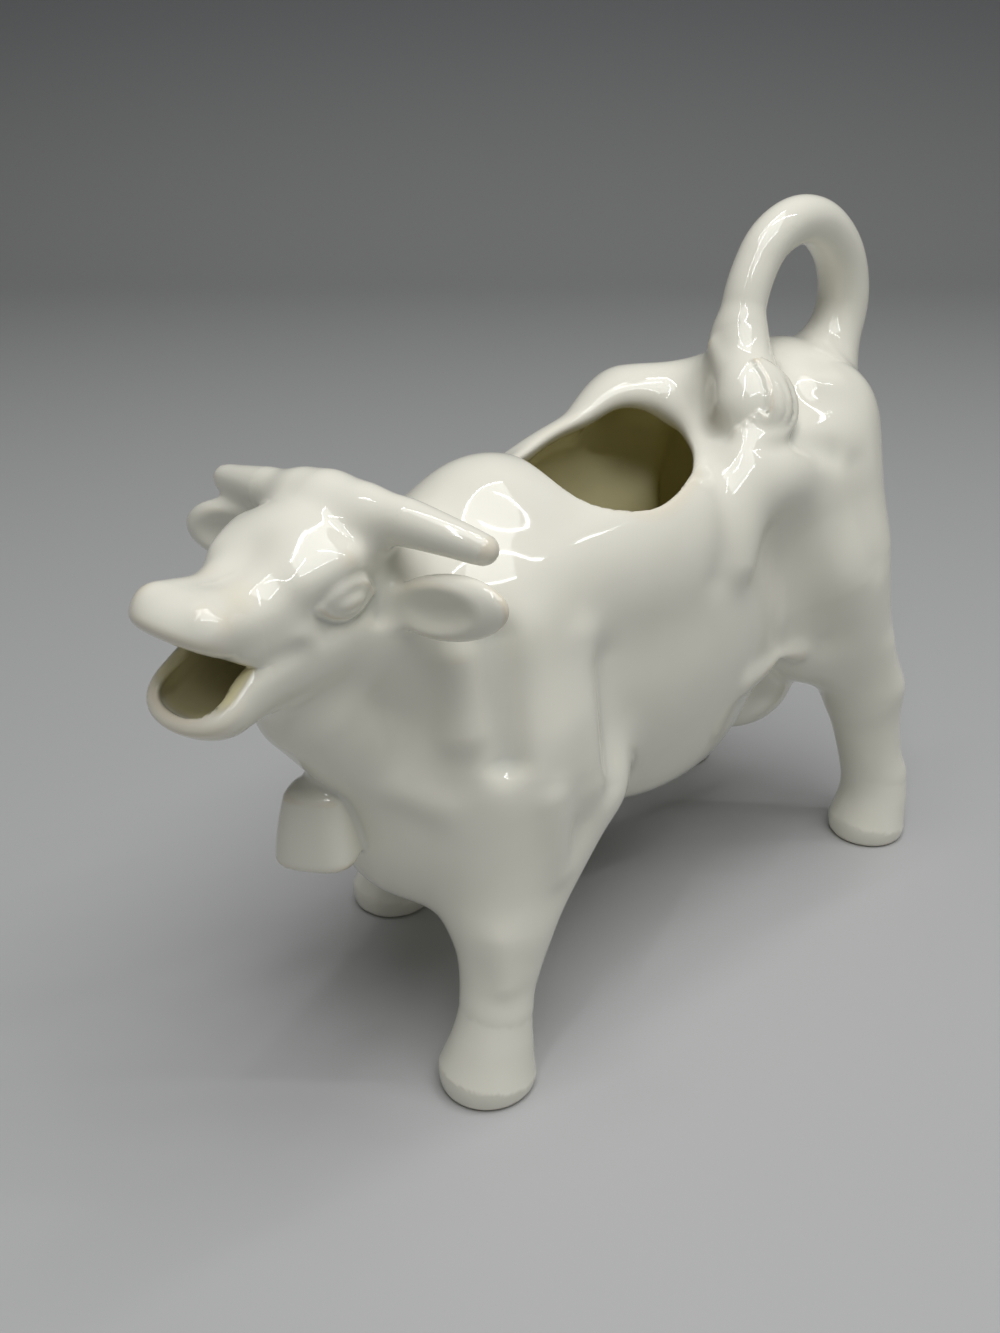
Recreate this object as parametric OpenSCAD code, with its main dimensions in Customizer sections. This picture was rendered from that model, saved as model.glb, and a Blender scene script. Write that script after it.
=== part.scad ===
// Cow creamer: a small milk jug in the shape of a standing cow.
// The milk goes in through the oval opening in the back, the hollow barrel holds it,
// the open mouth pours it, and the tail loops over as the handle.
// All of it is one fired porcelain body, made of the modelled and cast pieces named in NODES.
// The animal is built as a modeller builds it, from soft lumps of clay: eggs for the masses
// of muscle and limbs for what is long. The skin lies where the lumps run into each other,
// and the hollow lies one wall thickness inside it, as it does in a slip casting.
// X points to the nose, Y to the cow's left side, and Z up from the table.

/* [Body] */
// Length of the barrel, from the rump to the brisket
body_len = 110; // [95:1:125]
// Width of the barrel
body_w = 46; // [42:1:52]
// Height of the shoulders above the table
back_h = 88; // [80:1:96]
// Thickness of the cast wall
wall = 3.4; // [2.6:0.1:4]
// How softly the muscles run into each other
soft = 2.5; // [2:0.1:3]

/* [Filling opening] */
// Length of the oval opening in the back
opening_len = 40; // [34:1:44]
// Width of the oval opening
opening_w = 28; // [24:1:30]
// Rounding of its lip
lip_round = 1.6; // [1:0.1:2.2]

/* [Head] */
// Length of the head, from the back of the jaw to the nose
head_len = 42; // [38:1:46]
// Width of the skull
head_w = 24; // [21:1:27]
// Height of the skull
head_h = 30; // [27:1:33]
// How far the head turns to the cow's left, in degrees
head_turn = 11.5; // [0:0.5:18]
// How far the head tilts to its left side, in degrees
head_tilt = 4; // [0:0.5:8]
// How softly the forms of the head run into each other
head_soft = 1.6; // [1.2:0.1:2.2]
// How wide the mouth gapes, in degrees
mouth_angle = 66; // [50:1:74]
// Thickness of the wall at the lips
lip_t = 1.9; // [1.6:0.1:2.4]

/* [Horns and ears] */
// From the middle of the head to a horn's tip
horn_reach = 23.6; // [21:0.2:27]
// Thickness of a horn at its root
horn_d = 7.2; // [6.4:0.1:8.2]
// From the middle of the head to an ear's tip
ear_reach = 28; // [25:1:31]
// Height of an ear
ear_h = 8.6; // [7.6:0.1:9.8]
// Thickness of an ear
ear_t = 4.8; // [4:0.1:6]
// How far the line of the ears tilts to the cow's right, in degrees
ear_tilt = 7; // [0:0.5:10]

/* [Legs] */
// From the middle of the barrel forward to the left front hoof
front_step = 37; // [32:1:42]
// How far the right front hoof stands behind the left one
front_stagger = 18; // [0:1:22]
// From the middle of the barrel back to the left rear hoof
rear_step = 63.5; // [58:0.5:66]
// How far the right rear hoof stands ahead of the left one
rear_stagger = 3.5; // [0:0.5:8]
// Distance between the left and the right hooves
track = 46.4; // [40:0.2:50]
// How far the hooves stand to the cow's right of the body's middle
stance_shift = 2.8; // [0:0.1:4]
// Width of a hoof
hoof_w = 15; // [13:0.2:16.4]
// Thickness of the shank above the hoof
shank_d = 11.4; // [10:0.2:13]

/* [Tail handle] */
// How high the tail loop rises above the shoulders
loop_rise = 29; // [26:1:34]
// Length of the loop, from its root to the tuft
loop_len = 37; // [33:1:41]
// Thickness of the tail at its root
tail_d = 10.4; // [9:0.2:12]
// Thickness of the tail where it comes down
tail_end_d = 7.4; // [6.6:0.2:8.4]
// Length of the tuft of hair
tuft_len = 13; // [10:0.5:15]
// Thickness of the tuft
tuft_d = 9; // [7.5:0.1:10]

/* [Bell and udder] */
// Height of the bell
bell_h = 11.5; // [10:0.5:13.5]
// Width of the bell at its mouth
bell_w = 11.2; // [9:0.2:12.4]
// Depth of the bell at its mouth, from front to back
bell_depth = 13.2; // [11:0.2:15]
// Length of the udder
udder_len = 25; // [21:1:29]

/* [Hidden] */
glaze = [0.93, 0.92, 0.89];

// The whole jug is centred over the origin: the nose reaches further than the rump,
// and the right hooves stand further out than the ear on the left
centre_x = 1.4;
centre_y = -1.8;
// How wide the fillet is that is wiped round a joint: of the neck, of a limb, of a small piece
neck_join = 8;
limb_join = 7;
fine_join = 4;
// The share of its fillet that a piece carries with it; the rest would be a feather edge
flare_share = 0.55;
// How softly the clay runs together within a small piece
fine_soft = 1.2;
// A number too small to matter, which keeps a division away from zero
almost_none = 0.000001;
// How many steps bring a ray to the skin
marching_steps = 9;
around = 40;
around_inside = 26;
around_head = 28;
around_limb = 18;

torso_size = [body_len, body_w, back_h];
head_size = [head_len, head_w, head_h];
middle = [0, 0, back_h * 0.64];

// Eggs of clay as shares of body_len, body_w and back_h: the middle, then the half axes.
// Barrel, chest, brisket, rump, withers, the ridge of the back, the flat of the back, the
// loin, and the hand-pressed right side, where loin and hip stand higher than on the left
torso_egg_shares = [
    [[-0.09, 0, 0.61], [0.33, 0.455, 0.305]],
    [[0.165, 0, 0.57], [0.2, 0.41, 0.305]],
    [[0.28, 0, 0.41], [0.125, 0.3, 0.165]],
    [[-0.415, 0, 0.8], [0.165, 0.39, 0.235]],
    [[0.16, 0, 0.84], [0.115, 0.26, 0.155]],
    [[-0.455, 0, 0.98], [0.13, 0.2, 0.105]],
    [[-0.03, 0, 0.79], [0.34, 0.42, 0.165]],
    [[-0.345, 0, 0.885], [0.12, 0.33, 0.1]],
    [[-0.14, -0.28, 0.87], [0.14, 0.12, 0.1]],
    [[-0.225, -0.3, 0.94], [0.08, 0.12, 0.085]]];
// The same for one of each pair: shoulder, haunch, hip bone, edge of the back and pin bone
torso_pair_shares = [
    [[0.22, 0.24, 0.615], [0.12, 0.21, 0.27]],
    [[-0.44, 0.25, 0.69], [0.13, 0.235, 0.28]],
    [[-0.27, 0.27, 0.88], [0.08, 0.15, 0.08]],
    [[-0.07, 0.28, 0.83], [0.2, 0.09, 0.08]],
    [[-0.49, 0.2, 0.93], [0.08, 0.15, 0.105]]];
// The neck and the dewlap: from, to, and the two radii as shares of body_w
neck_limb_shares = [
    [[0.2, 0, 0.69], [0.385, 0.04, 0.83], 0.3, 0.26],
    [[0.286, 0, 0.44], [0.46, 0.05, 0.7], 0.2, 0.17]];
// Where the ears' line crosses the head, as a share of the torso's sizes
ears_at_shares = [0.425, 0.06, 0.925];

// The skull as shares of head_len, head_w and head_h, from the ears' line: the cranium, the
// forehead, the cheeks, the nose pad and the chin, each with its nod in degrees
skull_egg_shares = [
    [[-0.02, 0, -0.02], [0.22, 0.33, 0.28], 0],
    [[0.14, 0, 0.06], [0.14, 0.26, 0.17], 25],
    [[0.14, 0, -0.23], [0.25, 0.32, 0.22], 12],
    [[0.575, 0, -0.02], [0.1, 0.27, 0.11], 0],
    [[0.55, 0, -0.4], [0.11, 0.25, 0.1], 0]];
// The brow over each eye
brow_egg_shares = [[[0.19, 0.25, 0.05], [0.1, 0.1, 0.08], 10]];
// The cheek that closes the mouth behind: from, to, and the radii as shares of head_w
skull_limb_shares = [[[0.19, 0, -0.15], [0.42, 0, -0.2], 0.3, 0.245]];
// The same for one of each pair: the bridge of the nose and the lower jaw
jaw_pair_shares = [
    [[0.19, 0.11, -0.02], [0.545, 0.13, -0.03], 0.19, 0.137],
    [[0.19, 0.1, -0.3], [0.51, 0.115, -0.385], 0.205, 0.15]];
// The corner of the mouth, as shares of head_len and head_h
mouth_share_x = 0.46;
mouth_share_z = -0.24;
// The share of the gape that opens upward from the corner of the mouth
gape_up_share = 0.47;

// Turn that carries the head's own directions into the cow's
function nod(a) = [[cos(a), 0, sin(a)], [0, 1, 0], [-sin(a), 0, cos(a)]];
function yaw(a) = [[cos(a), -sin(a), 0], [sin(a), cos(a), 0], [0, 0, 1]];
function lean(a) = [[1, 0, 0], [0, cos(a), sin(a)], [0, -sin(a), cos(a)]];
function times(a, b) = [a.x * b.x, a.y * b.y, a.z * b.z];
function over_by(a, b) = [a.x / b.x, a.y / b.y, a.z / b.z];
function unit(v) = v / norm(v);
function on_side(v, s) = [v.x, v.y * s, v.z];
function in_torso(shares) = times(shares, torso_size);
head_axes = yaw(head_turn) * lean(head_tilt);
function from_ears(v) = in_torso(ears_at_shares) + head_axes * v;
function in_head(shares) = from_ears(times(shares, head_size));

// How far a point lies outside one lump. An egg is [middle, half axes, turn] and a limb is
// [one end, other end, its radius, its radius]
function egg_gap(p, egg) =
    let (q = (p - egg[0]) * egg[2],
         s = over_by(q, egg[1]),
         n = norm(s))
    n * (n - 1) / max(norm(over_by(s, egg[1])), almost_none);
function limb_gap(p, limb) =
    let (run = limb[1] - limb[0],
         h = max(0, min(1, (p - limb[0]) * run / (run * run))))
    norm(p - limb[0] - h * run) - limb[2] - h * (limb[3] - limb[2]);
function lump_gap(p, m) = len(m) == 3 ? egg_gap(p, m) : limb_gap(p, m);
// How far a point lies outside all the lumps together, run softly into one
function soften(gaps, k) = -k * ln([for (g = gaps) exp(-g / k)] * [for (g = gaps) 1]);
function clay_gap(p, lumps, k) = soften([for (m = lumps) lump_gap(p, m)], k);
// Two pieces with a fillet of width k wiped round their joint
function joined(a, b, k) = let (h = max(k - abs(a - b), 0) / k) min(a, b) - h * h * k / 4;

straight = nod(0);
torso_lumps = concat(
    [for (e = torso_egg_shares) [in_torso(e[0]), in_torso(e[1]), straight]],
    [for (s = [1, -1], e = torso_pair_shares) [in_torso(on_side(e[0], s)), in_torso(e[1]), straight]]);
neck_lumps = [for (l = neck_limb_shares) [in_torso(l[0]), in_torso(l[1]), l[2] * body_w, l[3] * body_w]];
skull_lumps = concat(
    [for (e = skull_egg_shares) [in_head(e[0]), times(e[1], head_size), head_axes * nod(e[2])]],
    [for (s = [1, -1], e = brow_egg_shares)
        [in_head(on_side(e[0], s)), times(e[1], head_size), head_axes * nod(e[2])]],
    [for (l = skull_limb_shares) [in_head(l[0]), in_head(l[1]), l[2] * head_w, l[3] * head_w]],
    [for (s = [1, -1], l = jaw_pair_shares)
        [in_head(on_side(l[0], s)), in_head(on_side(l[1], s)), l[2] * head_w, l[3] * head_w]]);
head_lumps = concat(neck_lumps, skull_lumps);

torso_gap = function (p) clay_gap(p, torso_lumps, soft);
head_gap = function (p) clay_gap(p, head_lumps, head_soft);

// How far a ray from c runs before the clay's gap reaches level
function reach(c, u, gap, level, t = 0, n = marching_steps) =
    n == 0 ? t : reach(c, u, gap, level, max(0, t + level - gap(c + t * u)), n - 1);

// A ring's station is [middle, aim, lean]: its rays leave square to the aim, and lean
// towards it by an angle
function ray_of(station, side, a) =
    let (top = unit(cross(station[1], side)),
         across = cross(top, station[1]))
    cos(station[2]) * (cos(a) * across + sin(a) * top) + sin(station[2]) * station[1];
function skin_ring(station, side, gap, level, n) =
    [for (i = [0:n - 1])
        let (u = ray_of(station, side, 360 * i / n))
        station[0] + u * reach(station[0], u, gap, level)];
// The same for a piece that joins on: its fillet ends a share of its width past its own clay
function piece_ring(station, side, base_gap, own_gap, join, n) =
    let (gap = function (p) joined(base_gap(p), own_gap(p), join))
    [for (i = [0:n - 1])
        let (u = ray_of(station, side, 360 * i / n),
             own = reach(station[0], u, own_gap, 0) + join * flare_share)
        station[0] + u * min(own, reach(station[0], u, gap, 0))];

// A closed skin over rings of equal count, with a point at the middle of each end
function average(ring) = [for (p = ring) 1] * ring / len(ring);
module skin(rings) {
    n = len(rings[0]);
    last = len(rings) - 1;
    corners = concat([for (r = rings) each r], [average(rings[0]), average(rings[last])]);
    polyhedron(corners, concat(
        [for (i = [0:n - 1]) [i, (i + 1) % n, (last + 1) * n]],
        [for (j = [0:last - 1], i = [0:n - 1], half = [0, 1])
            let (a = j * n + i, b = j * n + (i + 1) % n)
            half == 0 ? [a, a + n, b + n] : [a, b + n, b]],
        [for (i = [0:n - 1]) [last * n + (i + 1) % n, last * n + i, (last + 1) * n + 1]]));
}

// A smooth way through points, at a share of its length, and its direction there
function curve_at(points, share) =
    let (last = len(points) - 1,
         u = max(0, min(1, share)) * last,
         i = min(floor(u), last - 1),
         f = u - i,
         a = points[max(i - 1, 0)],
         b = points[i],
         c = points[i + 1],
         d = points[min(i + 2, last)])
    (2 * b + f * (c - a) + f * f * (2 * a - 5 * b + 4 * c - d) + f * f * f * (3 * b - a - 3 * c + d)) / 2;
function stations(points, n) =
    [for (i = [0:n])
        let (before = curve_at(points, (i - 0.5) / n), after = curve_at(points, (i + 0.5) / n))
        [curve_at(points, i / n), unit(after - before), 0]];

// Stations of the barrel: a fan round the rump, straight rings, and a fan round the chest
rump_at = in_torso([-0.38, 0, 0.72]);
chest_at = in_torso([0.17, 0, 0.58]);
function barrel_stations(fans, rings) = concat(
    [for (i = [0:fans - 1]) [rump_at, [1, 0, 0], -85 + 85 * i / fans]],
    [for (i = [0:rings]) [rump_at + (chest_at - rump_at) * i / rings, [1, 0, 0], 0]],
    [for (i = [1:fans]) [chest_at, [1, 0, 0], 85 * i / fans]]);

// Stations of the neck and head: up from inside the chest, and out along the muzzle
head_way = [
    in_torso([0.16, 0, 0.62]), in_torso([0.26, 0.01, 0.74]), in_torso([0.36, 0.04, 0.83]),
    in_head([0.04, 0, -0.06]), in_head([0.28, 0, -0.08]), in_head([0.5, 0, -0.1])];
function head_stations(rings, fans) =
    let (along = stations(head_way, rings), tip = along[rings])
    concat(along, [for (i = [1:fans]) [tip[0], tip[1], 85 * i / fans]]);

module torso_solid() {
    skin([for (s = barrel_stations(9, 26)) skin_ring(s, [0, 1, 0], torso_gap, 0, around)]);
}

module torso_hollow() {
    skin([for (s = barrel_stations(6, 14)) skin_ring(s, [0, 1, 0], torso_gap, -wall, around_inside)]);
}

module head_solid() {
    skin([for (s = head_stations(26, 7))
        piece_ring(s, [0, 1, 0], torso_gap, head_gap, neck_join, around_head)]);
}

// The way that the milk takes: one wall inside the neck and the head,
// and thinning to the lips
module pouring_way() {
    rings = 18;
    way = head_stations(rings, 4);
    skin([for (i = [0:len(way) - 1])
        let (thinning = pow(min(1, i / rings), 3))
        skin_ring(way[i], [0, 1, 0], head_gap, (wall - lip_t) * thinning - wall, around_inside)]);
}

// The gape is a wedge across the muzzle, with its edge at the corners of the mouth
module mouth_gape() {
    corner = in_head([mouth_share_x, 0, mouth_share_z]);
    translate(corner)
        rotate([-head_tilt, 0, head_turn])
            rotate([90, 0, 0])
                translate([0, 0, -head_w])
                    linear_extrude(2 * head_w)
                        polygon([
                            [0, 0],
                            [head_len, -head_len * tan(mouth_angle * (1 - gape_up_share))],
                            [head_len, head_len * tan(mouth_angle * gape_up_share)]]);
}

// The opening's cutter: an oval shaft whose rim follows the back and flares at the lip
opening_at = in_torso([-0.0545, 0, 0]);
module opening_cut() {
    n = 32;
    rims = [for (i = [0:n - 1])
        let (a = 360 * i / n, foot = opening_at + [opening_len * cos(a), opening_w * sin(a), 0] / 2)
        [foot, reach([foot.x, foot.y, middle.z], [0, 0, 1], torso_gap, 0) + middle.z, [cos(a), sin(a), 0]]];
    skin([
        [for (r = rims) [r[0].x, r[0].y, middle.z]],
        [for (r = rims) [r[0].x, r[0].y, r[1] - lip_round]],
        [for (r = rims) [r[0].x, r[0].y, r[1] - lip_round * 0.35] + r[2] * lip_round * 0.25],
        [for (r = rims) [r[0].x, r[0].y, r[1]] + r[2] * lip_round],
        [for (r = rims) [r[0].x, r[0].y, back_h * 1.3] + r[2] * lip_round * 2]]);
}

module body_shell() {
    color(glaze)
        translate([-centre_x, -centre_y, 0])
            difference() {
                torso_solid();
                torso_hollow();
                pouring_way();
                opening_cut();
            }
}

module head_spout() {
    color(glaze)
        translate([-centre_x, -centre_y, 0])
            difference() {
                head_solid();
                torso_solid();
                pouring_way();
                mouth_gape();
            }
}

// Horns and ears lie along a way out from the head, cut where they meet it
module beside_head(way, own) {
    last = way[len(way) - 1];
    fan = [for (i = [1:3]) [last[0], last[1], 28 * i]];
    skin([for (st = concat(way, fan)) piece_ring(st, [1, 0, 0], head_gap, own, fine_join, around_limb)]);
}

module horn_solid(s) {
    root = from_ears([0, s * horn_d * 0.42, horn_d * 0.89]);
    bend = from_ears([-horn_d * 0.17, s * horn_reach * 0.51, horn_d * 0.75]);
    tip = from_ears([-horn_d * 0.44, s * (horn_reach - horn_d * 0.22), horn_d * 0.64]);
    lumps = [[root, bend, horn_d / 2, horn_d * 0.42], [bend, tip, horn_d * 0.42, horn_d * 0.22]];
    beside_head(stations([root, bend, tip], 11), function (p) clay_gap(p, lumps, fine_soft));
}

module ear_solid(s) {
    ear_axes = yaw(head_turn) * lean(-ear_tilt);
    at = from_ears([-ear_t * 0.17, s * ear_reach * 0.67, -ear_h * 0.255]);
    inner = at + ear_axes * [0, -s * ear_reach * 0.45, 0];
    outer = at + ear_axes * [0, s * ear_reach * 0.23, 0];
    lumps = [[at, [ear_t / 2, ear_reach * 0.33, ear_h / 2], ear_axes]];
    beside_head(stations([inner, at, outer], 11), function (p) clay_gap(p, lumps, fine_soft));
}

module horn(s) {
    color(glaze)
        translate([-centre_x, -centre_y, 0])
            difference() {
                horn_solid(s);
                head_solid();
                torso_solid();
            }
}

module ear(s) {
    color(glaze)
        translate([-centre_x, -centre_y, 0])
            difference() {
                ear_solid(s);
                horn_solid(s);
                head_solid();
                torso_solid();
            }
}

// A leg runs down from the shoulder or the haunch through the knee or the hock to the
// pastern, and ends in a hoof that spreads towards its flat sole
module leg(top, knee, hoof, top_r, shank, extra) {
    ankle = pastern(hoof);
    foot = hoof + [0, 0, hoof_w * 0.21];
    crown = hoof + [-hoof_w * 0.07, 0, hoof_w * 0.55];
    lumps = concat(extra, [
        [top, knee, top_r, shank * 0.54],
        [knee, ankle, shank * 0.515, shank * 0.45],
        [foot, crown, hoof_w / 2, hoof_w * 0.41]]);
    own = function (p) clay_gap(p, lumps, fine_soft);
    way = [for (st = stations([top, knee, ankle, hoof], 18)) [st[0].x, st[0].y, max(0, st[0].z)]];
    rings = concat(
        [for (lean = [-80:20:-20]) [way[0], [0, 0, -1], lean]],
        [for (at = way) [at, [0, 0, -1], 0]]);
    color(glaze)
        translate([-centre_x, -centre_y, 0])
            difference() {
                skin([for (st = rings) piece_ring(st, [0, 1, 0], torso_gap, own, limb_join, around_limb)]);
                torso_solid();
            }
}

function pastern(hoof) = hoof + [-hoof_w * 0.09, 0, hoof_w * 0.7];
function hoof_at(x, s) = [x, s * track / 2 - stance_shift, 0];

module front_leg(s, x) {
    top = in_torso([0.245, s * 0.3, 0.54]);
    elbow = in_torso([0.13, s * 0.4, 0.46]);
    hoof = hoof_at(x, s);
    knee = hoof + [-shank_d * 0.44, -s * shank_d * 0.22, back_h * 0.285];
    calf = knee * 0.6 + pastern(hoof) * 0.4;
    leg(top, knee, hoof, shank_d * 0.79, shank_d, [
        [top, elbow, shank_d * 0.61, shank_d * 0.26],
        [elbow, calf, shank_d * 0.28, shank_d * 0.42]]);
}

module rear_leg(s, x) {
    top = in_torso([-0.44, s * 0.28, 0.66]);
    hoof = hoof_at(x, s);
    knee = hoof + [shank_d * 0.22, -s * shank_d * 0.26, back_h * 0.36];
    leg(top, knee, hoof, shank_d, shank_d * 1.15, []);
}

module udder() {
    at = in_torso([-0.4, 0, 0.375]);
    lumps = [[at, [udder_len / 2, udder_len * 0.4, udder_len * 0.36], straight]];
    own = function (p) clay_gap(p, lumps, fine_soft);
    top = at + [0, 0, udder_len * 0.3];
    color(glaze)
        translate([-centre_x, -centre_y, 0])
            difference() {
                skin([for (lean = [0:10:80])
                    piece_ring([top, [0, 0, -1], lean], [0, 1, 0], torso_gap, own, fine_join, around_limb)]);
                torso_solid();
            }
}

// The bell is a cowbell, wider at its mouth, hung against the dewlap
module bell() {
    at = in_torso([0.455, 0, 0.472]);
    mouth_edge = bell_h * 0.15;
    crown_edge = bell_h * 0.25;
    color(glaze)
        translate([-centre_x, -centre_y, 0])
            difference() {
                translate(at)
                    hull() {
                        translate([0, 0, mouth_edge - bell_h / 2])
                            scale([bell_depth / 2, bell_w / 2, mouth_edge])
                                sphere($fn = 24);
                        translate([0, 0, bell_h / 2 - crown_edge])
                            scale([bell_depth * 0.35, bell_w * 0.38, crown_edge])
                                sphere($fn = 24);
                    }
                torso_solid();
                head_solid();
            }
}

// The tail leaves the rump, loops up and forward, and comes down beside the left hip.
// Its way is given as shares of loop_len, body_w and loop_rise, from the tail's root
tail_way_shares = [
    [0.12, 0, -0.4], [-0.01, 0, -0.12], [-0.1, 0, 0.14], [-0.16, 0, 0.42], [-0.09, 0, 0.68],
    [0.08, 0, 0.86], [0.28, 0, 0.9], [0.47, 0, 0.8], [0.6, 0.01, 0.6], [0.68, 0.03, 0.37],
    [0.73, 0.06, 0.15], [0.74, 0.08, -0.1]];
tail_root = in_torso([-0.565, 0, 1.01]);
function tail_thick(share) = tail_d + (tail_end_d - tail_d) * min(1, share * 1.4);
function tail_at(share) = tail_root + times(curve_at(tail_way_shares, share), [loop_len, body_w, loop_rise]);

module tail_solid() {
    n = 34;
    m = 14;
    skin([for (i = [0:n])
        let (at = tail_at(i / n),
             aim = unit(tail_at((i + 0.5) / n) - tail_at((i - 0.5) / n)))
        [for (j = [0:m - 1]) at + ray_of([at, aim, 0], [0, 1, 0], 360 * j / m) * tail_thick(i / n) / 2]]);
}

// The tuft lies on the left hip, swelling out of the tail and coming to a point
tuft_way_shares = [
    [-0.08, -0.1, 0.5], [0.02, 0.05, 0.15], [0.1, 0.35, -0.2], [0.17, 0.65, -0.55], [0.22, 0.87, -0.95]];
tuft_thick_shares = [0.8, 0.95, 1, 1, 0.85, 0.5];
tuft_root_share = 0.9;
function tuft_at(share) = tail_at(tuft_root_share) + curve_at(tuft_way_shares, share) * tuft_len;

module tuft_solid() {
    n = 12;
    m = 14;
    skin([for (i = [0:n])
        let (at = tuft_at(i / n),
             aim = unit(tuft_at((i + 0.5) / n) - tuft_at((i - 0.5) / n)),
             r = tuft_d / 2 * curve_at(tuft_thick_shares, i / n))
        [for (j = [0:m - 1]) at + ray_of([at, aim, 0], [1, 0, 0], 360 * j / m) * r]]);
}

module tail_handle() {
    color(glaze)
        translate([-centre_x, -centre_y, 0])
            difference() {
                tail_solid();
                torso_solid();
            }
}

module tail_tuft() {
    color(glaze)
        translate([-centre_x, -centre_y, 0])
            difference() {
                tuft_solid();
                tail_solid();
                torso_solid();
            }
}

module horn_left() { horn(1); }
module horn_right() { horn(-1); }
module ear_left() { ear(1); }
module ear_right() { ear(-1); }
module leg_front_left() { front_leg(1, front_step); }
module leg_front_right() { front_leg(-1, front_step - front_stagger); }
module leg_rear_left() { rear_leg(1, -rear_step); }
module leg_rear_right() { rear_leg(-1, rear_stagger - rear_step); }

body_shell();
head_spout();
horn_left();
horn_right();
ear_left();
ear_right();
bell();
leg_front_left();
leg_front_right();
leg_rear_left();
leg_rear_right();
udder();
tail_handle();
tail_tuft();
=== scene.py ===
# %% [markdown]
# # A cow creamer in white glazed porcelain
# The jug is one fired body: milk goes in through the back, the barrel holds it, the open mouth
# pours it, and the looped tail is the handle. On the real bench it is fourteen cast or modelled
# pieces that are stuck together with slip and glazed over, so that no seam shows. Here the
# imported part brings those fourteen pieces, and this script dresses each one with a finer skin.

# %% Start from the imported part
import math
from concurrent.futures import ThreadPoolExecutor
import bpy
import numpy as np
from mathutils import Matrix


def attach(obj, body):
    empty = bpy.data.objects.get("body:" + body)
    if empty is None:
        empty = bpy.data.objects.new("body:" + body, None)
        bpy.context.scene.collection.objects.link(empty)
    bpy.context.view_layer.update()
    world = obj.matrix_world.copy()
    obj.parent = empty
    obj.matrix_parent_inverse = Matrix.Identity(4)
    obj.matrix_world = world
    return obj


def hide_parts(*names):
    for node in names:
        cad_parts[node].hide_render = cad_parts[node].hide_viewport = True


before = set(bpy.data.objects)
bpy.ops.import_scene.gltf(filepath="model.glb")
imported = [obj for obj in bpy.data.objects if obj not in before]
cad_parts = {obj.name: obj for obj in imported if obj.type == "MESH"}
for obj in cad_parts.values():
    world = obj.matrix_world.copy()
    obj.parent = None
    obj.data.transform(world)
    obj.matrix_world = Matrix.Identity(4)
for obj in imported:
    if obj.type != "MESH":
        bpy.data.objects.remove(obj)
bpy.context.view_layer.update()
print("nodes:", sorted(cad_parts))

# %% [markdown]
# ## Sizes
# All shaping is done in millimetres, with x to the nose, y to the cow's left and z up from the
# table, measured from the middle of the barrel. The part itself is centred over its own box, so
# one small offset carries the cow's numbers into the part.

# %% Sizes in millimetres
BODY = np.array([110.0, 46.0, 88.0])
HEAD = np.array([42.0, 24.0, 30.0])
CENTRE = np.array([1.4, -1.8, 0.0])
HEAD_TURN, HEAD_TILT = 11.5, 4.0
WALL = 3.4
LIP = 1.9
SOFT, HEAD_SOFT = 2.5, 1.6
NECK_JOIN, SHOULDER_JOIN, HIP_JOIN, UDDER_JOIN, TAIL_JOIN = 8.0, 10.0, 7.0, 4.0, 8.0
HORN_JOIN, EAR_JOIN, TUFT_JOIN, BELL_JOIN = 3.0, 2.2, 2.6, 1.0
EARS_AT = np.array([0.425, 0.06, 0.925]) * BODY
print("cow", BODY, "head", HEAD, "ears at", EARS_AT.round(1))

# %% [markdown]
# ## Clay as a field of numbers
# A modeller builds an animal from lumps of clay and smooths them into each other. The same can
# be done with a field: at every point in space a number says how far outside the clay the
# point lies, below zero inside. Two kinds of lump are enough, an egg for a mass of muscle and
# a limb with a thick and a thin end for whatever is long. The first lumps melt together with
# one softness; joined lays a fillet of a given width between two forms, and carved cuts one
# form out of another with a rounded edge.

# %% Lumps of clay
def turned(yaw, tilt=0.0, nod=0.0):
    (yaw_cos, yaw_sin), (tilt_cos, tilt_sin), (nod_cos, nod_sin) = [
        (math.cos(math.radians(angle)), math.sin(math.radians(angle))) for angle in (yaw, tilt, nod)]
    flat = np.array([[yaw_cos, -yaw_sin, 0], [yaw_sin, yaw_cos, 0], [0, 0, 1]])
    lean = np.array([[1, 0, 0], [0, tilt_cos, tilt_sin], [0, -tilt_sin, tilt_cos]])
    tip = np.array([[nod_cos, 0, nod_sin], [0, 1, 0], [-nod_sin, 0, nod_cos]])
    return flat @ lean @ tip


HEAD_AXES = turned(HEAD_TURN, HEAD_TILT)


def egg_gap(points, middle, half, turn=None):
    off = points - middle
    if turn is not None:
        off = off @ turn
    share = off / half
    size = np.sqrt(np.einsum("ij,ij->i", share, share))
    share /= half
    return size * (size - 1) / np.maximum(np.sqrt(np.einsum("ij,ij->i", share, share)), 1e-6)


def limb_gap(points, start, end, thick, thin):
    run = end - start
    off = points - start
    along = np.clip(off @ run / (run @ run), 0, 1)
    off -= along[:, None] * run
    return np.sqrt(np.einsum("ij,ij->i", off, off)) - thick - along * (thin - thick)


def lump_gap(points, lump):
    return egg_gap(points, *lump) if len(lump) == 3 else limb_gap(points, *lump)


def clay_gap(points, lumps, soft):
    total = 0
    for lump in lumps:
        total = total + np.exp(np.clip(-lump_gap(points, lump) / soft, -60, 60))
    return -soft * np.log(np.maximum(total, 1e-26))


def joined(a, b, width):
    near = np.maximum(width - np.abs(a - b), 0) / width
    return np.minimum(a, b) - near * near * width / 4


def carved(a, tool, width):
    return -joined(-a, tool, width)


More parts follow.
